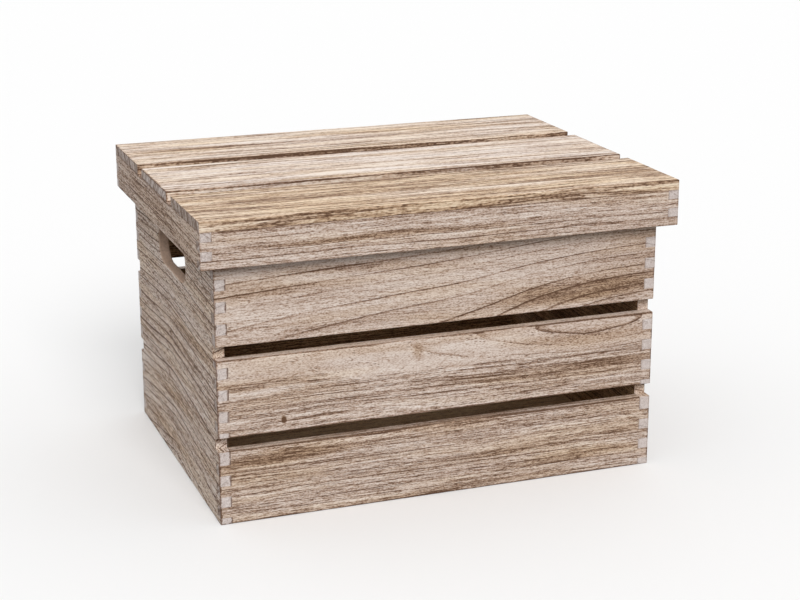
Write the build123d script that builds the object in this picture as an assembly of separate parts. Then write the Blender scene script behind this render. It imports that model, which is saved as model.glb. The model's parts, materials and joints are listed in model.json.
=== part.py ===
"""A storage crate in light wood with a lift-off lid.

The box has two full-height end panels with hand holes. Three slats on the front and three on the back are
joined to them at each corner with glued box fingers. A thin bottom panel sits in a groove inside. The lid is
a finger-jointed rim of four rails with three slats on top, and it drops over the box with a little clearance.

Millimetres. X is the long side, Y runs from front to back and Z is up. The origin is on the ground, below
the middle of the crate.
"""

from build123d import *
import os

# Stock
BOARD = 9.0                 # thickness of the walls and of the lid's rails
LID_BOARD = 8.0             # thickness of the lid's slats
PANEL = 5.0                 # thickness of the bottom panel

# Box
BOX_LENGTH = 356.0
BOX_DEPTH = 262.0
SLAT_GAP = 10.5             # open gap between two slats of a wall
BOTTOM_SLAT = 58.0          # heights of the three slats, from the ground up
MIDDLE_SLAT = 60.0
TOP_SLAT = 90.0
BOX_HEIGHT = BOTTOM_SLAT + SLAT_GAP + MIDDLE_SLAT + SLAT_GAP + TOP_SLAT

# Corner fingers of the box, on one grid that is centred on its height
FINGER = 8.4
FINGER_COUNT = 26
SHORTEST_FINGER = 3.0       # a shorter one at a slat's edge is left to the board beside it

# Bottom panel
PANEL_BASE = 8.0            # height of its underside
GROOVE = 4.0                # how far its edges go into the walls

# Hand holes
HOLE_LENGTH = 90.0
HOLE_HEIGHT = 31.0
HOLE_CENTRE = 177.0         # height of the hole's centre
HOLE_ROUNDING = 1.5         # radius of its rims

# Lid
LID_CLEARANCE = 3.0         # between the rim's inner face and the wall, all round
LID_LENGTH = BOX_LENGTH + 2 * (LID_CLEARANCE + BOARD)
LID_DEPTH = BOX_DEPTH + 2 * (LID_CLEARANCE + BOARD)
RAIL_HEIGHT = 28.0
RAIL_FINGERS = 4
LID_SLAT_WIDTH = 86.0
RAIL_BASE = BOX_HEIGHT - RAIL_HEIGHT
RAIL_FINGER = RAIL_HEIGHT / RAIL_FINGERS

# Which board of a corner a finger belongs to
ALONG_X = 0
ALONG_Y = 1


def block(low, high):
    """A rectangular solid between two corners."""
    centre = [(a + b) / 2 for a, b in zip(low, high)]
    size = [b - a for a, b in zip(low, high)]
    return Pos(*centre) * Box(*size)


def box_bands(low, high):
    """Fingers between two heights of a box corner, as [bottom, top, owner], with short ends merged."""
    first = (BOX_HEIGHT - FINGER_COUNT * FINGER) / 2
    edges = [first + n * FINGER for n in range(FINGER_COUNT + 1)]
    inside = [z for z in edges if low < z < high]
    owners = [sum(z <= start for z in edges) for start in [low] + inside]
    bands = [
        [start, stop, ALONG_X if owner % 2 else ALONG_Y]
        for start, stop, owner in zip([low] + inside, inside + [high], owners)
    ]
    if bands[0][1] - bands[0][0] < SHORTEST_FINGER:
        short = bands.pop(0)
        bands[0][0] = short[0]
    if bands[-1][1] - bands[-1][0] < SHORTEST_FINGER:
        short = bands.pop()
        bands[-1][1] = short[1]
    return bands


def rail_bands():
    """Fingers of a lid corner, as [bottom, top, owner]. The lowest belongs to the front or back rail."""
    return [
        [RAIL_BASE + n * RAIL_FINGER, RAIL_BASE + (n + 1) * RAIL_FINGER, ALONG_Y if n % 2 else ALONG_X]
        for n in range(RAIL_FINGERS)
    ]


def corner_blocks(length, depth, bands):
    """The square blocks at the four corners of a frame, one for each band given."""
    blocks = []
    for side_x in (-1, 1):
        for side_y in (-1, 1):
            inner = (side_x * (length / 2 - BOARD), side_y * (depth / 2 - BOARD))
            outer = (side_x * length / 2, side_y * depth / 2)
            for bottom, top, _ in bands:
                low = (min(inner[0], outer[0]), min(inner[1], outer[1]), bottom)
                high = (max(inner[0], outer[0]), max(inner[1], outer[1]), top)
                blocks.append(block(low, high))
    return blocks


def slat_heights():
    """Bottom and top of each wall slat, by name."""
    middle = BOTTOM_SLAT + SLAT_GAP
    top = middle + MIDDLE_SLAT + SLAT_GAP
    return {
        "bottom": (0.0, BOTTOM_SLAT),
        "middle": (middle, middle + MIDDLE_SLAT),
        "top": (top, BOX_HEIGHT),
    }


def bottom_panel():
    """The thin panel that closes the box below, with its edges in the walls' groove."""
    half_length = BOX_LENGTH / 2 - BOARD + GROOVE
    half_depth = BOX_DEPTH / 2 - BOARD + GROOVE
    return block((-half_length, -half_depth, PANEL_BASE), (half_length, half_depth, PANEL_BASE + PANEL))


def board_y(side, depth):
    """Lower and upper Y of the board on that side of a frame."""
    faces = (side * (depth / 2 - BOARD), side * depth / 2)
    return min(faces), max(faces)


def wall_slat(side, low, high):
    """One slat of the front or back wall, notched at its ends for the end panels' fingers."""
    near, far = board_y(side, BOX_DEPTH)
    slat = block((-BOX_LENGTH / 2, near, low), (BOX_LENGTH / 2, far, high))
    foreign = [band for band in box_bands(low, high) if band[2] == ALONG_Y]
    for notch in corner_blocks(BOX_LENGTH, BOX_DEPTH, foreign):
        slat -= notch
    return slat - bottom_panel()


def hand_hole(centre_x):
    """A long hole with round ends, to be cut through an end panel."""
    outline = Plane.YZ * Pos(0, HOLE_CENTRE) * SlotOverall(HOLE_LENGTH, HOLE_HEIGHT)
    return Pos(centre_x, 0, 0) * extrude(outline, BOARD, both=True)


def is_hole_rim(edge, centre_x):
    """Whether an edge of an end panel runs round its hand hole on one of the panel's faces."""
    middle = edge.center()
    on_face = abs(middle.X - centre_x) > BOARD / 4
    near_hole = abs(middle.Z - HOLE_CENTRE) < HOLE_HEIGHT
    return on_face and near_hole and abs(middle.Y) < HOLE_LENGTH


def end_panel(side):
    """One end of the box: fingers on both upright edges, set back between the slats, and a hand hole."""
    centre_x = side * (BOX_LENGTH - BOARD) / 2
    low = (centre_x - BOARD / 2, -BOX_DEPTH / 2, 0)
    high = (centre_x + BOARD / 2, BOX_DEPTH / 2, BOX_HEIGHT)
    panel = block(low, high) - hand_hole(centre_x)
    rims = [edge for edge in panel.edges() if is_hole_rim(edge, centre_x)]
    panel = fillet(rims, HOLE_ROUNDING)
    heights = list(slat_heights().values())
    gaps = [[lower[1], upper[0], None] for lower, upper in zip(heights, heights[1:])]
    foreign = [band for low, high in heights for band in box_bands(low, high) if band[2] == ALONG_X]
    for notch in corner_blocks(BOX_LENGTH, BOX_DEPTH, gaps + foreign):
        panel -= notch
    return panel - bottom_panel()


def lid_rail(side):
    """The front or back rail of the lid's rim."""
    near, far = board_y(side, LID_DEPTH)
    rail = block((-LID_LENGTH / 2, near, RAIL_BASE), (LID_LENGTH / 2, far, BOX_HEIGHT))
    foreign = [band for band in rail_bands() if band[2] == ALONG_Y]
    for notch in corner_blocks(LID_LENGTH, LID_DEPTH, foreign):
        rail -= notch
    return rail


def lid_end_rail(side):
    """The left or right rail of the lid's rim."""
    near, far = board_y(side, LID_LENGTH)
    rail = block((near, -LID_DEPTH / 2, RAIL_BASE), (far, LID_DEPTH / 2, BOX_HEIGHT))
    foreign = [band for band in rail_bands() if band[2] == ALONG_X]
    for notch in corner_blocks(LID_LENGTH, LID_DEPTH, foreign):
        rail -= notch
    return rail


def lid_slat(place):
    """One of the lid's three top slats. The outer two are flush with the rim."""
    centre_y = place * (LID_DEPTH - LID_SLAT_WIDTH) / 2
    low = (-LID_LENGTH / 2, centre_y - LID_SLAT_WIDTH / 2, BOX_HEIGHT)
    high = (LID_LENGTH / 2, centre_y + LID_SLAT_WIDTH / 2, BOX_HEIGHT + LID_BOARD)
    return block(low, high)


def pieces():
    """Every board of the crate, by name."""
    made = {"bottom_panel": bottom_panel()}
    for name, side in (("left", -1), ("right", 1)):
        made[f"end_panel_{name}"] = end_panel(side)
        made[f"lid_end_rail_{name}"] = lid_end_rail(side)
    for name, side in (("front", -1), ("back", 1)):
        made[f"lid_rail_{name}"] = lid_rail(side)
        for level, (low, high) in slat_heights().items():
            made[f"{name}_slat_{level}"] = wall_slat(side, low, high)
    for name, place in (("front", -1), ("middle", 0), ("back", 1)):
        made[f"lid_slat_{name}"] = lid_slat(place)
    return made


os.makedirs("parts", exist_ok=True)
for node, shape in pieces().items():
    export_step(shape, f"parts/{node}.step")
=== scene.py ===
"""Looks of a lidded wooden storage crate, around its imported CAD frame. Metres, +Z up.

Every board of the crate is a detailed piece that stands for its CAD node: its arrises are eased and a little
uneven, and its wood is a solid procedural material, so that the grain runs through from face to end.
"""

from dataclasses import dataclass
import json
import math

import bmesh
import bpy
from mathutils import Matrix, Vector, noise
from mathutils.bvhtree import BVHTree


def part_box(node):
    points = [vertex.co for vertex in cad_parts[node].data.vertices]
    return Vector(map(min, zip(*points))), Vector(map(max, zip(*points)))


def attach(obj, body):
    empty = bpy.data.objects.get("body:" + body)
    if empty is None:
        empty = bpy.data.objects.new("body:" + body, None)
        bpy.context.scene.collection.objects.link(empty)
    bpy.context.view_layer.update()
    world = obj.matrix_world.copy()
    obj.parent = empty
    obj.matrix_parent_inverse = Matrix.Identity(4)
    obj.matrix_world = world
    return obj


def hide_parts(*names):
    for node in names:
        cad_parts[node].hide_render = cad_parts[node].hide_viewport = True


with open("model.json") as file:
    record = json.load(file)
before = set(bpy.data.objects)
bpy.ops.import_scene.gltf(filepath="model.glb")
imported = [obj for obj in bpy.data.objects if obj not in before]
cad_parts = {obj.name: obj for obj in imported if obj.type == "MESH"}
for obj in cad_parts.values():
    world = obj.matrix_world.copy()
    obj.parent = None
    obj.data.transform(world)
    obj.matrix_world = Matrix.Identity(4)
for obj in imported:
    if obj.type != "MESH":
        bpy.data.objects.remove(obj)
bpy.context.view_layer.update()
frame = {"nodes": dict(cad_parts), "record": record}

MM = 0.001
SEED_STEP = 7.3             # from one board's noise to the next one's

# Camera, at the photograph's viewing angle
CAMERA_PLACE = (-0.4791, -1.3354, 0.5460)
CAMERA_YAW = 20.225         # degrees to the right of +Y
CAMERA_PITCH = -16.713      # degrees above the horizon
CAMERA_ROLL = -0.107
LENS = 80.76
SENSOR = 36.0

# Light
KEY_DIRECTION = (-0.05, -0.445, 0.35)   # from the crate towards the soft key light
KEY_POWER = 1.8
KEY_ANGLE = 30.0                        # degrees across, which softens the shadows
SKY_COLOUR = (1.0, 1.0, 1.0, 1.0)
SKY_POWER = 0.75
GROUND_POWER = 0.12                     # light from below the horizon
HORIZON = (-0.05, 0.0)                  # where the one passes into the other
FLOOR_SIZE = 400.0                      # so large that its edge lies at the horizon
FLOOR_COLOUR = (0.90, 0.90, 0.90, 1.0)
FLOOR_ROUGHNESS = 0.9
FLOOR_SHINE = 0.0

# Edges of the boards, in millimetres
ARRIS = 0.6                 # width of an eased outer edge
ARRIS_FACES = 2             # narrow faces that round it off
SEAM = 0.14                 # width of an edge inside a joint
SHARP = 30.0                # degrees between two faces, from which an edge is eased
CUT_ALONG = 6.0             # spacing of the cuts that let an edge be uneven
CUT_ACROSS = 10.0
CUT_SNAP = 0.02             # how near to a cut a point counts as on it
MERGE = 0.001               # how near two points of the CAD mesh count as one
FLAT = 0.5                  # degrees under which two faces count as one
TOUCH = 0.05                # how far beside a face another board is looked for
STEP_IN = 0.4               # and how far in from the edge
NEIGHBOUR = 1.0             # how far outside another board's box a point is still tried

# Wear of the arrises, in millimetres
WEAR = 0.22                 # how far an arris wanders inwards
WEAR_LEVEL = 0.35           # its share that is even, slow and quick along the edge
WEAR_SLOW = 0.5
WEAR_QUICK = 0.6
WEAR_SLOW_RATE = 60.0       # waves per metre
WEAR_QUICK_RATE = 220.0
WEAR_REACH = 1.2            # times the arris, how far from the edge it reaches

# Axes of a board: along the grain, across its width, through its thickness
ALONG_X_UPRIGHT = (0, 2, 1)
ALONG_X_FLAT = (0, 1, 2)
ALONG_Y_UPRIGHT = (1, 2, 0)

# Wood colours, as linear RGB, from pale to dark
RAMP_STOPS = (0.0, 0.36, 0.68, 1.0)
WASHED = ((0.87, 0.78, 0.71), (0.68, 0.55, 0.47), (0.43, 0.29, 0.21), (0.13, 0.07, 0.042))
TAN = ((0.88, 0.72, 0.53), (0.65, 0.47, 0.32), (0.41, 0.26, 0.155), (0.12, 0.06, 0.032))
# the inside faces' colours, browner and darker: painted shade of the closed crate's interior
SHADED_INSIDE = ((0.84, 0.62, 0.39), (0.60, 0.39, 0.21), (0.36, 0.20, 0.10), (0.11, 0.05, 0.022))
BORE = ((0.80, 0.60, 0.47), (0.64, 0.46, 0.35), (0.40, 0.27, 0.19), (0.15, 0.09, 0.06))
END_GRAIN = ((0.78, 0.71, 0.69), (0.64, 0.56, 0.53), (0.38, 0.29, 0.25), (0.15, 0.09, 0.065))

# Marks of the wood, in millimetres along the grain and across it
FLOW = (160, 50)            # over which the fibres wander
FLOW_WIDTH = 9.0            # and how far
PORE = (8.0, 0.5)           # short dark pores
HAIR = (90.0, 0.6)          # long thin dark lines
STREAK = (110.0, 2.0)       # darker and paler streaks
BROAD = (180.0, 8.0)        # broad soft bands
FLECK = (5.0, 1.1)          # spacing of the flecks, most in the early wood
FADING = (120, 9)           # over which a ring's line fades and returns
TINT = (130, 13)            # over which the wood is warmer or cooler
SPECKS_PER_MM = (0.55, 1.4)

# Detail of a noise
FINE = 2.0
PLAIN = 1.0

# Added to a board's seed, so that its noises differ
PORE_SEED = 1
STREAK_SEED = 2
BROAD_SEED = 3
TINT_SEED = 4
HAIR_SEED = 5
STRIP_SEED = 3              # times the number of the strip

# Where a mark begins and where it is full, in the noise that makes it
MIDDLE = 0.5                # mean of the noise
NOISE_SPAN = (0.3, 0.7)     # and where nearly all of it lies
PORE_EDGE = (0.15, 0.5)
HAIR_EDGE = (0.1, 0.6)
SPECK_EDGE = (0.4, 0.7)
FLECK_EDGE = (0.34, 0.12)
FADING_EDGE = (0.35, 0.6)
FADED = 0.45                # what is left of a ring's line where it fades

# Rings, in shares of a ring from the inside out
LATE_LINE = (0.84, 0.98)
LATE_BAND = (0.25, 1.0)
EARLY_WOOD = (0.45, 0.0)
RING_DRIFT = 0.6            # how uneven the rings' spacing is, and how quickly it changes
DIVE_LIMIT = 30.0           # millimetres behind the face, past which the log's middle sinks slowly
DIVE_SLOW = 13.0            # how slowly
DIVE_BEND = 8.0             # how softly the one passes into the other

# How much darker a mark makes the wood. At 0 it has the palest colour of its ramp, and at 1 the darkest
PALEST = 0.13               # wood with no marks
PORE_DARK = 0.36
PORE_CALM = 0.35            # share of the pores' darkness in calm wood
HAIR_DARK = 0.42
SPECK_DARK = 0.34
STREAK_DARK = 0.17
BROAD_DARK = 0.13
FLECK_LATE = 0.25           # share of the flecks in the late wood
FLECK_CALM = 1.6            # how much stronger flecks are in calm wood
FLECK_LESS = 0.6            # and by how much less in streaky wood
INSIDE_PAINTED_SHADE = 0.2         # painted shade: the crate's inside faces are darker
INSIDE_SOFTER = 0.6         # with fainter rings

# Tint: at 0 the wood is washed, and at 1 it is tan
TINT_SPREAD = 0.35
PATCH_TINT = 1.5            # times a patch's darkness
PATCH_EDGE = (1.25, 0.3)    # a patch's soft edge, as shares of its size

# Ends, edges and the walls of holes, in millimetres
FACING = (0.6, 0.8)         # how squarely a face looks along an axis to count as an end or a side
ARRIS_SHADE = (1.4, 0.5)    # from where to where an arris is darker
ARRIS_RAGGED = 0.8          # how far the streaks shift that
END_DEPTH = 1.0             # how near a board's end its sawn end grain shows
END_SHARE = 0.8             # and how much it covers
END_PALEST = 0.2
END_DARKER = 0.5            # added to that, times the board's end marks
END_LINE = 0.2
END_BAND = 0.1
END_MARKED = 2.0            # added to both of these, times the same
END_SPECK = 0.2
END_STREAK = 0.16
END_STRIPE = 1.6            # broad stripes of several rings, in boards with marked ends
END_STRIPE_RATE = 0.7
END_STRIPE_EDGE = (0.46, 0.6)
BORE_DEPTH = 12.0           # how far in from the edges a hole's wall lies
BORE_FACING = (0.8, 0.5)
BORE_PALEST = 0.3
BORE_BROAD = 0.12
BORE_SPECK = 0.2

# Surface
FLECK_PIT = -0.5            # relative depths
LINE_PIT = -0.4
PORE_PIT = -0.35
PIT_DEPTH = 0.3             # millimetres
PIT_STRENGTH = 0.5
ROUGHNESS = (0.62, 0.8)     # of the palest and the darkest wood
SHINE = 0.3

# The thin dark line where boards meet: painted shade of the seam between them
LINE_BLOTS = 160.0          # per metre
LINE_EDGE = (0.35, 0.6)
LINE_DARK = (0.3, 1.0)
LINE_SHINE = 0.2
LINE_ROUGHNESS = 0.85


class Graph:
    """Short calls that add a node to a material and return its output."""

    def __init__(self, tree):
        self.tree = tree

    def put(self, kind, inputs, output=0, **settings):
        """A node of that kind, with its inputs by name or number. Values are set, and sockets are linked."""
        node = self.tree.nodes.new(kind)
        for key, value in settings.items():
            setattr(node, key, value)
        for key, value in inputs.items():
            if isinstance(value, bpy.types.NodeSocket):
                self.tree.links.new(value, node.inputs[key])
            else:
                node.inputs[key].default_value = value
        return node.outputs[output]

    def math(self, operation, *values):
        return self.put("ShaderNodeMath", dict(enumerate(values)), operation=operation)

    def add(self, *values):
        total = values[0]
        for value in values[1:]:
            total = self.math("ADD", total, value)
        return total

    def times(self, *values):
        product = values[0]
        for value in values[1:]:
            product = self.math("MULTIPLY", product, value)
        return product

    def choice(self, factor, a, b):
        """a where the factor is 0, b where it is 1."""
        return self.put("ShaderNodeMapRange", {"Value": factor, "To Min": a, "To Max": b})

    def scaled(self, vector, factors):
        return self.put("ShaderNodeVectorMath", {0: vector, 1: factors}, operation="MULTIPLY")

    def moved(self, vector, offset):
        return self.put("ShaderNodeVectorMath", {0: vector, 1: offset}, operation="ADD")

    def parts(self, vector):
        """The three numbers of a vector."""
        node = self.tree.nodes.new("ShaderNodeSeparateXYZ")
        self.tree.links.new(vector, node.inputs[0])
        return node.outputs

    def fade(self, value, start, stop, low=0.0, high=1.0, smooth=True):
        """low before start, high after stop, and a ramp between. start may be above stop."""
        kind = "SMOOTHSTEP" if smooth else "LINEAR"
        inputs = {"Value": value, "From Min": start, "From Max": stop, "To Min": low, "To Max": high}
        return self.put("ShaderNodeMapRange", inputs, interpolation_type=kind)

    def noise(self, vector, detail=FINE, output="Factor"):
        inputs = {"Vector": vector, "Scale": 1.0, "Detail": detail}
        return self.put("ShaderNodeTexNoise", inputs, output=("Factor", "Color").index(output))

    def noise_1d(self, value):
        inputs = {"W": value, "Scale": 1.0, "Detail": PLAIN}
        return self.put("ShaderNodeTexNoise", inputs, noise_dimensions="1D")

    def grained(self, place, size, seed, detail=FINE, output="Factor"):
        """Noise whose blots are that long along the grain and that wide across it."""
        along, across = size
        stretched = self.scaled(place, (1 / along, 1 / across, 1 / across))
        return self.noise(self.moved(stretched, (seed,) * 3), detail, output)

    def streaks(self, place, size, seed, detail=FINE):
        """The same, from about -1 to 1."""
        return self.fade(self.grained(place, size, seed, detail), *NOISE_SPAN, -1.0, 1.0, smooth=False)

    def ramp(self, value, colours):
        node = self.tree.nodes.new("ShaderNodeValToRGB")
        stops = node.color_ramp.elements
        while len(stops) < len(colours):
            stops.new(1.0)
        for stop, place, colour in zip(stops, RAMP_STOPS, colours):
            stop.position = place
            stop.color = (*colour, 1.0)
        self.tree.links.new(value, node.inputs[0])
        return node.outputs[0]

    def mix(self, factor, a, b):
        """Colour a where the factor is 0, b where it is 1."""
        node = self.tree.nodes.new("ShaderNodeMix")
        node.data_type = "RGBA"
        for name, value in (("Factor_Float", factor), ("A_Color", a), ("B_Color", b)):
            target = next(socket for socket in node.inputs if socket.identifier == name)
            self.tree.links.new(value, target)
        return next(socket for socket in node.outputs if socket.identifier == "Result_Color")


@dataclass
class Strip:
    """A strip of wood and the log it was sawn from. Millimetres from the board's centre."""

    heart: tuple                # where the log's middle lies, across the board and through it
    spacing: float              # from ring to ring
    wave: float = 2.0           # how far the rings wander
    wander: tuple = (110, 28)   # over what length and width
    dive: tuple = None          # where along the grain the log's middle is nearest, and how gently it sinks
    offset: float = 0.0         # added to the rings' radius
    line: float = 0.6           # darkness of a ring's late line
    band: float = 0.16          # and of the soft band before it
    even: float = 0.2           # share of both in the faintest ring
    streaky: float = 1.0        # 0 is calm wood with few streaks
    faint: tuple = None         # from where to where along the grain the lines come up


@dataclass
class Look:
    """How a board looks. Unless it says otherwise, 1 is usual, and 0 leaves the feature out."""

    axes: tuple
    strips: tuple
    glue: tuple = None          # glue line: its height before a place and past another, and these two places
    tan: float = 0.0            # 0 is washed, 1 is tan
    depth: float = 0.0          # how much darker the whole board is
    drift: float = 0.0          # and how much more towards one end
    dash: float = 1.0           # pores and hairs
    streak: float = 1.0
    broad: float = 1.0
    fleck: float = 0.25
    coarse: float = 1.0         # width of the streaks, pores and specks
    arris: float = 0.25         # how much darker the arrises are
    side: float = 0.0           # the sawn sides
    end: float = 0.0            # and the marks on the sawn ends
    bored: bool = False         # whether it has a hole
    inside: int = 0             # which way through the board the crate's inside is, whose faces get painted shade, or 0
    patches: tuple = ()         # soft areas, as (along, across, half length, half width, how much darker)


def upright(*strips, **settings):
    """A board on edge along X."""
    return Look(ALONG_X_UPRIGHT, strips, **settings)


def flat(*strips, **settings):
    """A board lying flat along X."""
    return Look(ALONG_X_FLAT, strips, **settings)


def across_end(*strips, **settings):
    """A board on edge along Y, at an end of the crate."""
    return Look(ALONG_Y_UPRIGHT, strips, **settings)


LOOKS = {
    "front_slat_top": upright(
        Strip((-64, -4.5), 7.7, wave=1.0, dive=(185, 3.8), offset=1.5, line=0.8, even=0.35, streaky=0.6),
        depth=0.02, dash=0.9, streak=0.6, broad=0.7, end=0.25, inside=1,
        patches=(
            (120, -31, 85, 11, 0.36), (-120, -8, 75, 5, 0.16), (-40, 3, 60, 5, 0.14),
            (-90, -38, 90, 4, 0.12), (-160, 28, 120, 12, 0.18), (170, -10, 60, 40, 0.14),
        )),
    "front_slat_middle": upright(
        Strip((-120, 70), 4.2, line=0.4, band=0.1),
        Strip((28.5, 3), 6.3, wave=3.3, wander=(70, 30), dive=(118, 7.5), offset=3.1, line=0.52, band=0.1,
              even=0.6, streaky=0.15, faint=(-60, 20)),
        glue=(12, 4.5, -100, -70), depth=0.05, drift=0.06, fleck=0.4, arris=0.6, end=0.25, inside=1,
        patches=(
            (-127.4, -22, 2.2, 3.0, 0.9), (-134, -21, 14, 4, 0.12), (-21, 20, 5, 9, 0.2),
            (80, -8, 110, 10, 0.20), (-60, 15, 110, 9, 0.02), (100, 15, 60, 9, 0.10), (-150, 8, 60, 5, 0.22),
        )),
    "front_slat_bottom": upright(
        Strip((150, 90), 4.6, wave=2.5, line=0.7),
        tan=0.2, depth=0.1, streak=1.1, arris=0.7, end=0.25, inside=1,
        patches=(
            (-130, 21, 60, 6, 0.28), (0, -5, 90, 7, 0.14), (120, -12, 70, 5, 0.16), (-60, -20, 90, 6, -0.12),
        )),
    "back_slat_top": upright(
        Strip((-40, -30), 7.0, dive=(-260, 4.0)),
        inside=-1, patches=((90, 10, 70, 10, 0.18),)),
    "back_slat_middle": upright(
        Strip((130, -90), 4.6),
        inside=-1, patches=((-60, 5, 80, 7, 0.2), (120, -10, 60, 8, -0.12))),
    "back_slat_bottom": upright(
        Strip((-90, -60), 6.5),
        tan=0.2, inside=-1, patches=((40, -8, 90, 7, 0.2),)),
    "end_panel_left": across_end(
        Strip((-200, 60), 6.8, wave=2.2, dive=(10, 5.5), line=3.0, band=0.2, even=0.12, streaky=0.6),
        tan=0.15, depth=-0.05, dash=1.5, streak=0.7, fleck=0.6, coarse=1.8, arris=0.6, bored=True, inside=1,
        patches=((20, -60, 110, 5, 0.16), (-40, 10, 90, 6, 0.14), (60, -98, 90, 8, 0.16))),
    "end_panel_right": across_end(
        Strip((-260, -80), 6.2, wave=4.0, line=1.5, band=0.25, streaky=0.6),
        tan=0.15, depth=0.02, bored=True, inside=-1, patches=((0, -30, 100, 8, 0.16),)),
    "bottom_panel": flat(
        Strip((60, -110), 7.0, wave=5.0),
        tan=0.9, depth=-0.38, inside=1),
    "lid_slat_front": flat(
        Strip((150, -110), 3.6, line=0.9),
        tan=0.85, depth=-0.03, streak=2.5, broad=2.3, coarse=1.6, arris=0.05, side=0.08, end=0.4, inside=-1,
        patches=((-60, 12, 150, 12, 0.2), (100, -16, 90, 6, -0.14))),
    "lid_slat_middle": flat(
        Strip((-150, -120), 4.6, line=0.9),
        tan=0.2, depth=-0.2, streak=2.7, broad=2.0, coarse=1.6, arris=0.6, side=0.2, end=0.2, inside=-1,
        patches=((0, -38, 200, 3, 0.3), (40, 28, 130, 4, 0.24))),
    "lid_slat_back": flat(
        Strip((120, -100), 4.6, wave=3.0, line=0.8),
        tan=0.45, depth=-0.12, streak=2.8, broad=2.2, coarse=1.5, side=0.55, end=0.3, inside=-1,
        patches=((-130, 2, 70, 6, 0.38), (40, 20, 90, 8, 0.18))),
    "lid_rail_front": upright(
        Strip((120, 90), 4.0),
        depth=0.04, dash=0.8, streak=0.9, end=0.2, patches=((-60, 1.5, 150, 2.2, 0.3),)),
    "lid_rail_back": upright(Strip((-100, -90), 5.0)),
    "lid_end_rail_left": across_end(
        Strip((130, 90), 5.0, line=0.35),
        depth=0.11, streak=0.8, fleck=0.6, coarse=1.7),
    "lid_end_rail_right": across_end(Strip((-120, -90), 5.0)),
}


def ring_count(g, u, v, w, strip, seed):
    """How many rings lie between a point and the heart of the strip's log."""
    across = g.add(v, -strip.heart[0])
    behind = g.add(w, -strip.heart[1])
    if strip.dive:
        nearest, gentle = strip.dive
        away = g.math("ABSOLUTE", g.add(nearest, g.times(u, -1.0)))
        slow = g.add(DIVE_LIMIT, g.times(away, 1 / DIVE_SLOW))
        depth = g.math("SMOOTH_MIN", g.times(away, 1 / gentle), slow, DIVE_BEND)
        behind = g.math("SUBTRACT", behind, depth)
    radius = g.math("SQRT", g.add(g.times(across, across), g.times(behind, behind)))
    long, wide = strip.wander
    place = g.put("ShaderNodeCombineXYZ", {0: g.times(u, 1 / long), 1: g.times(v, 1 / wide), 2: seed})
    radius = g.add(radius, g.times(g.add(g.noise(place), -MIDDLE), 2 * strip.wave))
    count = g.times(g.add(radius, strip.offset), 1 / strip.spacing)
    return g.add(count, g.times(g.noise_1d(g.add(g.times(count, RING_DRIFT), seed)), RING_DRIFT))


def patch(g, place, along, across, half_length, half_width, amount):
    """A soft darker or paler area of the board's face."""
    near = g.moved(place, (-along, -across, 0.0))
    near = g.scaled(near, (1 / half_length, 1 / half_width, 0.0))
    distance = g.put("ShaderNodeVectorMath", {0: near}, output=1, operation="LENGTH")
    return g.fade(distance, *PATCH_EDGE, 0.0, amount)


def new_material(name):
    """An empty material and its graph."""
    material = bpy.data.materials.new(name)
    material.use_nodes = True
    material.node_tree.nodes.clear()
    return material, Graph(material.node_tree)


def shade(g, colour, shine, **inputs):
    """Ends a material's graph with a shader of that colour."""
    shader = g.put("ShaderNodeBsdfPrincipled", {"Base Color": colour, "Specular IOR Level": shine, **inputs})
    output = g.tree.nodes.new("ShaderNodeOutputMaterial")
    g.tree.links.new(shader, output.inputs[0])


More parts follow.
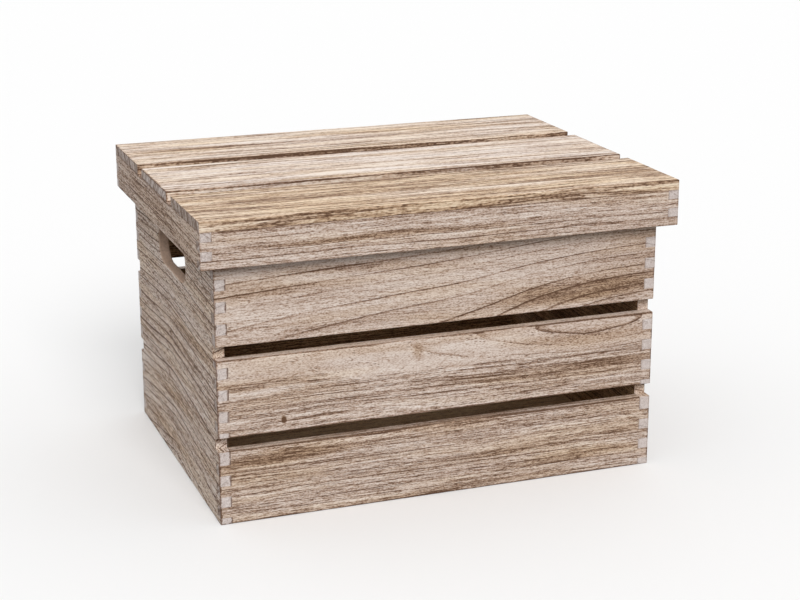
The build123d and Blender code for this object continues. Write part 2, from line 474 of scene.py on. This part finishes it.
class Wood:
    """The solid wood of one board: growth rings, streaks and pores, end grain, and worn arrises."""

    def __init__(self, name, low, high, look, seed):
        self.material, self.g = new_material(name)
        self.look = look
        self.seed = seed
        self.find_place(low, high)
        self.find_faces()
        self.find_marks()
        self.find_rings()
        self.find_edges()
        self.patches = self.g.add(0.0, *[patch(self.g, self.fibres, *numbers) for numbers in look.patches])
        self.dark = self.darkness()
        colour = self.bore_colour(self.end_colour(self.face_colour()))
        rough = self.g.fade(self.dark, 0.0, 1.0, *ROUGHNESS, smooth=False)
        shade(self.g, colour, SHINE, Roughness=rough, Normal=self.relief())

    def find_place(self, low, high):
        """The place in the board, in millimetres from its centre: along, across and through it."""
        g = self.g
        look = self.look
        centre = (low + high) / 2
        self.half = [(high[axis] - low[axis]) / 2 / MM for axis in look.axes]
        self.coords = g.tree.nodes.new("ShaderNodeTexCoord")
        local = g.scaled(g.moved(self.coords.outputs["Object"], tuple(-centre)), (1 / MM,) * 3)
        numbers = g.parts(local)
        self.u, self.v, self.w = (numbers[axis] for axis in look.axes)
        self.place = g.put("ShaderNodeCombineXYZ", {0: self.u, 1: self.v, 2: self.w})
        flow = g.moved(g.grained(self.place, FLOW, self.seed, output="Color"), (-MIDDLE,) * 3)
        self.fibres = g.moved(self.place, g.scaled(flow, (0.0, FLOW_WIDTH, FLOW_WIDTH)))

    def find_faces(self):
        """Which faces are sawn ends, sawn sides or the crate's inside, which gets painted shade."""
        g = self.g
        normal = g.parts(self.coords.outputs["Normal"])
        self.ends, sides, self.through = (normal[axis] for axis in self.look.axes)
        self.side = g.fade(g.math("ABSOLUTE", sides), *FACING)
        self.inside = g.fade(g.times(self.through, self.look.inside), *FACING)

    def find_marks(self):
        """Pores, hairs, specks, streaks and flecks of the fibres."""
        g = self.g
        coarse = self.look.coarse
        pore = (PORE[0], PORE[1] * coarse)
        hair = (HAIR[0], HAIR[1] * coarse)
        streak = (STREAK[0], STREAK[1] * coarse)
        self.pores = g.fade(g.streaks(self.fibres, pore, self.seed + PORE_SEED, PLAIN), *PORE_EDGE)
        self.hairs = g.fade(g.streaks(self.fibres, hair, self.seed + HAIR_SEED, PLAIN), *HAIR_EDGE)
        self.streak = g.streaks(self.fibres, streak, self.seed + STREAK_SEED)
        self.broad = g.streaks(self.fibres, BROAD, self.seed + BROAD_SEED)
        along, across = (rate / coarse for rate in SPECKS_PER_MM)
        self.specks = g.fade(g.noise(g.scaled(self.fibres, (along, across, across)), PLAIN), *SPECK_EDGE)
        spaced = g.scaled(self.fibres, (1 / FLECK[0], 1 / FLECK[1], 1 / FLECK[1]))
        cells = g.put("ShaderNodeTexVoronoi", {"Vector": spaced, "Scale": 1.0})
        self.flecks = g.fade(cells, *FLECK_EDGE)

    def by_strip(self, values):
        """The value of the strip that a point lies in, given for the lower strip and then for the upper."""
        return values[0] if self.upper is None else self.g.choice(self.upper, *values)

    def find_rings(self):
        """Each ring's dark late line, the soft band before it, and its early wood."""
        g = self.g
        look = self.look
        self.upper = None
        if look.glue:
            before, past, start, stop = look.glue
            self.upper = g.math("GREATER_THAN", self.v, g.fade(self.u, start, stop, before, past))
        self.count = self.by_strip([
            ring_count(g, self.u, self.v, self.w, strip, self.seed + STRIP_SEED * n)
            for n, strip in enumerate(look.strips)
        ])
        self.line_dark = self.by_strip([
            g.fade(self.u, *strip.faint, 0.0, strip.line) if strip.faint else strip.line
            for strip in look.strips
        ])
        self.band_dark = self.by_strip([strip.band for strip in look.strips])
        self.streaky = self.by_strip([strip.streaky for strip in look.strips])
        even = self.by_strip([strip.even for strip in look.strips])
        ring = g.math("FLOOR", self.count)
        within = g.math("FRACT", self.count)
        chance = g.put("ShaderNodeTexWhiteNoise", {"W": g.add(ring, self.seed)}, noise_dimensions="1D")
        fading = g.fade(g.grained(self.place, FADING, self.seed, PLAIN), *FADING_EDGE, FADED, 1.0)
        strength = g.times(g.fade(chance, 0.0, 1.0, even, 1.0), fading)
        softened = g.add(1.0, g.times(self.inside, -INSIDE_SOFTER))
        self.line = g.times(g.fade(within, *LATE_LINE), strength, softened)
        self.band = g.times(g.fade(within, *LATE_BAND), strength)
        self.early = g.fade(within, *EARLY_WOOD)

    def find_edges(self):
        """How far in from the board's outside a point lies, and where its arrises and sawn ends are."""
        g = self.g
        self.in_u, self.in_v, in_w = (
            g.math("SUBTRACT", half, g.math("ABSOLUTE", value))
            for half, value in zip(self.half, (self.u, self.v, self.w))
        )
        nearer = g.math("MINIMUM", self.in_v, in_w)
        farther = g.math("MAXIMUM", self.in_v, in_w)
        to_arris = g.math("MAXIMUM", nearer, g.math("MINIMUM", farther, self.in_u))
        self.arris = g.fade(g.add(to_arris, g.times(self.streak, ARRIS_RAGGED)), *ARRIS_SHADE)
        along = g.fade(g.math("ABSOLUTE", self.ends), *FACING)
        self.on_end = g.times(along, g.math("LESS_THAN", self.in_u, END_DEPTH))

    def darkness(self):
        """How dark the wood is at each point, from 0 to 1, with every mark added up."""
        g = self.g
        look = self.look
        pores_here = g.add(PORE_CALM, g.times(self.streaky, 1 - PORE_CALM))
        flecks_here = g.times(
            g.add(self.early, FLECK_LATE),
            g.add(FLECK_CALM, g.times(self.streaky, -FLECK_LESS)),
        )
        return g.add(
            PALEST + look.depth,
            self.patches,
            g.times(self.line, self.line_dark),
            g.times(self.band, self.band_dark),
            g.times(self.pores, PORE_DARK * look.dash, pores_here),
            g.times(self.hairs, HAIR_DARK * look.dash, self.streaky),
            g.times(self.specks, SPECK_DARK),
            g.times(self.streak, STREAK_DARK * look.streak, self.streaky),
            g.times(self.broad, BROAD_DARK * look.broad),
            g.times(self.flecks, look.fleck, flecks_here),
            g.times(self.u, look.drift / self.half[0]),
            g.times(self.arris, look.arris),
            g.times(self.side, look.side),
            # painted shade on the crate's inside faces
            g.times(self.inside, INSIDE_PAINTED_SHADE),
        )

    def face_colour(self):
        """Washed or tan outside, and darker and browner inside as painted shade."""
        g = self.g
        coolest = self.look.tan - TINT_SPREAD
        warmest = self.look.tan + TINT_SPREAD
        tint = g.grained(self.fibres, TINT, self.seed + TINT_SEED)
        tint = g.fade(tint, *NOISE_SPAN, coolest, warmest)
        tint = g.add(tint, g.times(self.patches, PATCH_TINT))
        tint = g.math("MINIMUM", g.math("MAXIMUM", tint, 0.0), 1.0)
        outside = g.mix(tint, g.ramp(self.dark, WASHED), g.ramp(self.dark, TAN))
        # the inside faces take the darker, browner ramp: painted shade
        return g.mix(self.inside, outside, g.ramp(self.dark, SHADED_INSIDE))

    def end_colour(self, colour):
        """The colour given, with sawn end grain over it at the board's ends."""
        g = self.g
        end = self.look.end
        stripes = g.noise_1d(g.add(g.times(self.count, END_STRIPE_RATE), self.seed))
        dark = g.add(
            END_PALEST + END_DARKER * end,
            g.times(self.line, END_LINE + END_MARKED * end),
            g.times(g.fade(stripes, *END_STRIPE_EDGE), END_STRIPE * end),
            g.times(self.band, END_BAND + END_MARKED * end),
            g.times(self.specks, END_SPECK),
            g.times(self.streak, END_STREAK),
            g.times(self.arris, self.look.arris),
        )
        return g.mix(g.times(self.on_end, END_SHARE), colour, g.ramp(dark, END_GRAIN))

    def bore_colour(self, colour):
        """The colour given, with the smooth wall of a hole over it where the board has one."""
        if not self.look.bored:
            return colour
        g = self.g
        wall = g.fade(g.math("ABSOLUTE", self.through), *BORE_FACING)
        far_in = g.math("GREATER_THAN", g.math("MINIMUM", self.in_u, self.in_v), BORE_DEPTH)
        dark = g.add(BORE_PALEST, g.times(self.broad, BORE_BROAD), g.times(self.specks, BORE_SPECK))
        return g.mix(g.times(wall, far_in), colour, g.ramp(dark, BORE))

    def relief(self):
        """Flecks, ring lines and pores lie a little deeper than the rest."""
        g = self.g
        height = g.add(
            g.times(self.flecks, FLECK_PIT),
            g.times(self.line, LINE_PIT),
            g.times(self.pores, PORE_PIT),
        )
        inputs = {"Height": height, "Strength": PIT_STRENGTH, "Distance": PIT_DEPTH * MM}
        return g.put("ShaderNodeBump", inputs)


def seam_shade_line():
    """The thin dark line where two boards meet, painted shade of the seam between them."""
    material, g = new_material("seam_shade_line")
    coords = g.tree.nodes.new("ShaderNodeTexCoord")
    blots = g.noise(g.scaled(coords.outputs["Object"], (LINE_BLOTS,) * 3))
    # dark blots along the seam: painted shade
    colour = g.ramp(g.fade(blots, *LINE_EDGE, *LINE_DARK), WASHED)
    shade(g, colour, LINE_SHINE, Roughness=LINE_ROUGHNESS)
    return material


def clean_copy(node):
    """The node's mesh with its flat faces whole, in row-frame metres."""
    mesh = bmesh.new()
    mesh.from_mesh(node.data)
    bmesh.ops.remove_doubles(mesh, verts=mesh.verts, dist=MERGE * MM)
    bmesh.ops.dissolve_limit(mesh, angle_limit=math.radians(FLAT), verts=mesh.verts, edges=mesh.edges)
    return mesh


def cut_up(mesh, low, high, axes):
    """Cuts a board across its length and its width, so that its arrises can wander."""
    for axis, spacing in ((axes[0], CUT_ALONG), (axes[1], CUT_ACROSS)):
        length = high[axis] - low[axis]
        count = max(1, round(length / (spacing * MM)))
        normal = Vector([float(n == axis) for n in range(3)])
        for n in range(1, count):
            point = low + normal * (length * n / count)
            parts = mesh.verts[:] + mesh.edges[:] + mesh.faces[:]
            bmesh.ops.bisect_plane(mesh, geom=parts, dist=CUT_SNAP * MM, plane_co=point, plane_no=normal)


def is_inside(tree, point):
    """Whether a point lies inside a closed board."""
    place, normal, _, _ = tree.find_nearest(point)
    return place is not None and (point - place).dot(normal) < 0


def touches(point, neighbours):
    """Whether a point lies in one of the neighbouring boards."""
    for low, high, tree in neighbours:
        if all(low[n] <= point[n] <= high[n] for n in range(3)) and is_inside(tree, point):
            return True
    return False


def weigh_edges(mesh, neighbours):
    """Marks each sharp edge with its share of the arris width: whole outside, small where boards meet."""
    weights = mesh.edges.layers.float.new("bevel_weight_edge")
    for edge in mesh.edges:
        if len(edge.link_faces) != 2 or not edge.is_convex:
            continue
        if edge.calc_face_angle() < math.radians(SHARP):
            continue
        middle = (edge.verts[0].co + edge.verts[1].co) / 2
        met = False
        for face, other in (edge.link_faces, reversed(edge.link_faces)):
            beside = middle + TOUCH * MM * face.normal - STEP_IN * MM * other.normal
            met = met or touches(beside, neighbours)
        edge[weights] = SEAM / ARRIS if met else 1.0


def eased(mesh, name, materials):
    """A new object with the marked edges bevelled. Bevelled faces get the second material."""
    data = bpy.data.meshes.new(name)
    mesh.to_mesh(data)
    data.polygons.foreach_set("use_smooth", [True] * len(data.polygons))
    for material in materials:
        data.materials.append(material)
    rough = bpy.data.objects.new(name + "_rough", data)
    bpy.context.scene.collection.objects.link(rough)
    bevel = rough.modifiers.new("ease", "BEVEL")
    bevel.limit_method = "WEIGHT"
    bevel.width = ARRIS * MM
    bevel.segments = ARRIS_FACES
    bevel.material = 1
    bevel.use_clamp_overlap = True
    flatten = rough.modifiers.new("flatten", "WEIGHTED_NORMAL")
    flatten.keep_sharp = False
    graph = bpy.context.evaluated_depsgraph_get()
    final = bpy.data.meshes.new_from_object(rough.evaluated_get(graph))
    final.name = name
    bpy.data.objects.remove(rough)
    piece = bpy.data.objects.new(name, final)
    bpy.context.scene.collection.objects.link(piece)
    return piece


def sides_near(point, low, high, reach):
    """For each axis, -1 or 1 if the point is within reach of that side of the box, else 0."""
    sides = []
    for n in range(3):
        if point[n] - low[n] < reach:
            sides.append(-1)
        elif high[n] - point[n] < reach:
            sides.append(1)
        else:
            sides.append(0)
    return sides


def at_arris(sides):
    """Whether a point near those sides is on an outer arris or corner."""
    return sum(map(abs, sides)) >= 2


def wear(piece, low, high, seed):
    """Pushes the outer arrises inwards by an uneven amount, and gives them back the board's own wood."""
    data = piece.data
    reach = WEAR_REACH * ARRIS * MM
    for vertex in data.vertices:
        sides = sides_near(vertex.co, low, high, reach)
        if at_arris(sides):
            slow = noise.noise(vertex.co * WEAR_SLOW_RATE + Vector((seed, 0, 0)))
            quick = noise.noise(vertex.co * WEAR_QUICK_RATE + Vector((0, seed, 0)))
            share = max(0.0, WEAR_LEVEL + WEAR_SLOW * slow + WEAR_QUICK * quick)
            vertex.co -= WEAR * MM * share * Vector(sides).normalized()
    for face in data.polygons:
        if face.material_index == 1 and at_arris(sides_near(face.center, low, high, reach)):
            face.material_index = 0


def build_board(name, body, cores, material_slot, line, seed):
    """Makes one board from its CAD node's mesh and sets it on its body."""
    low, high, core, _ = cores[name]
    margin = Vector((NEIGHBOUR * MM,) * 3)
    neighbours = [
        (cores[other][0] - margin, cores[other][1] + margin, cores[other][3])
        for other in frame["record"]["behaviour"]["bodies"][body] if other != name
    ]
    look = LOOKS[name]
    mesh = core.copy()
    cut_up(mesh, low, high, look.axes)
    weigh_edges(mesh, neighbours)
    wood = Wood(name + "_wood", low, high, look, seed)
    # the seam faces get the painted seam shade
    piece = eased(mesh, name + "_board", [wood.material, line])
    mesh.free()
    wear(piece, low, high, seed)
    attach(piece, body)
    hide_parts(name)


def build_boards():
    """Makes every board of the crate."""
    record = frame["record"]
    slots = {part["node"]: part["material_slot"] for part in record["subparts"]}
    bodies = {node: body for body, nodes in record["behaviour"]["bodies"].items() for node in nodes}
    line = seam_shade_line()
    cores = {}
    for name, node in frame["nodes"].items():
        low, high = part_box(name)
        core = clean_copy(node)
        cores[name] = (low, high, core, BVHTree.FromBMesh(core))
    for index, name in enumerate(sorted(cores)):
        build_board(name, bodies[name], cores, slots[name], line, SEED_STEP * (index + 1))
    for _, _, core, _ in cores.values():
        core.free()


def build_floor():
    """A plain pale floor under the crate, which throws no light back onto it."""
    data = bpy.data.meshes.new("floor")
    mesh = bmesh.new()
    bmesh.ops.create_grid(mesh, x_segments=1, y_segments=1, size=FLOOR_SIZE / 2)
    mesh.to_mesh(data)
    mesh.free()
    floor = bpy.data.objects.new("floor", data)
    bpy.context.scene.collection.objects.link(floor)
    material, g = new_material("floor")
    shade(g, FLOOR_COLOUR, FLOOR_SHINE, Roughness=FLOOR_ROUGHNESS)
    data.materials.append(material)
    floor.visible_diffuse = False


def build_light():
    """An even sky and one large soft light from above the front."""
    world = bpy.data.worlds.new("studio")
    world.use_nodes = True
    tree = world.node_tree
    g = Graph(tree)
    direction = tree.nodes.new("ShaderNodeTexCoord")
    height = g.parts(direction.outputs["Generated"])[2]
    sky = tree.nodes["Background"]
    sky.inputs["Color"].default_value = SKY_COLOUR
    tree.links.new(g.fade(height, *HORIZON, GROUND_POWER, SKY_POWER), sky.inputs["Strength"])
    bpy.context.scene.world = world
    lamp = bpy.data.lights.new("key", "SUN")
    lamp.energy = KEY_POWER
    lamp.angle = math.radians(KEY_ANGLE)
    key = bpy.data.objects.new("key", lamp)
    key.rotation_euler = Vector(KEY_DIRECTION).to_track_quat("Z", "Y").to_euler()
    bpy.context.scene.collection.objects.link(key)


def build_camera():
    """The camera, at the photograph's viewing angle."""
    data = bpy.data.cameras.new("camera")
    data.sensor_width = SENSOR
    data.lens = LENS
    camera = bpy.data.objects.new("camera", data)
    camera.location = CAMERA_PLACE
    turn = Matrix.Rotation(math.radians(-CAMERA_YAW), 4, "Z")
    tilt = Matrix.Rotation(math.radians(90 + CAMERA_PITCH), 4, "X")
    roll = Matrix.Rotation(math.radians(CAMERA_ROLL), 4, "Z")
    camera.rotation_euler = (turn @ tilt @ roll).to_euler()
    bpy.context.scene.collection.objects.link(camera)
    bpy.context.scene.camera = camera


build_boards()
build_floor()
build_light()
build_camera()
bpy.context.scene.view_settings.view_transform = "Standard"
